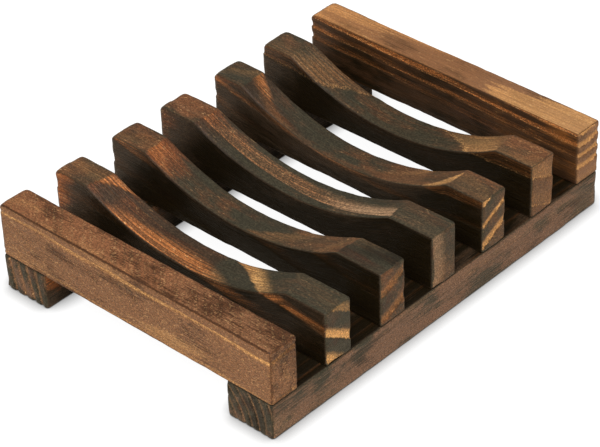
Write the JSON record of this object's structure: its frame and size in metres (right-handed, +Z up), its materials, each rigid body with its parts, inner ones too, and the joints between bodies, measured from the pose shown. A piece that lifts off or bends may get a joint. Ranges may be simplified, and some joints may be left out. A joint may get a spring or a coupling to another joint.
{
  "type": "slatted soap dish",
  "caption": "Free-standing soap dish of charred wood: scooped slats between straight end bars, nailed across two rails so that water drains through.",
  "frame": {"origin": "on the surface the dish stands on, under the middle of its outline", "axes": "+X along the rails towards the rear end bar, +Y along the slats towards the left rail, +Z up"},
  "size_m": [0.1198, 0.0886, 0.0252],
  "materials": {
    "charred_slats": "charred, brushed and lacquered, satin",
    "brown_end_bars": "lightly charred, brushed and lacquered, satin",
    "dark_rails": "charred, brushed and lacquered, satin",
    "brad_steel": "bright wire"
  },
  "bodies": {
    "root": {"right_rail": "dark_rails", "left_rail": "dark_rails", "front_end_bar": "brown_end_bars", "rear_end_bar": "brown_end_bars", "scooped_slat_1": "charred_slats", "scooped_slat_2": "charred_slats", "scooped_slat_3": "charred_slats", "scooped_slat_4": "charred_slats", "scooped_slat_5": "charred_slats", "right_rail_brads": "brad_steel", "left_rail_brads": "brad_steel"}
  },
  "joints": []
}
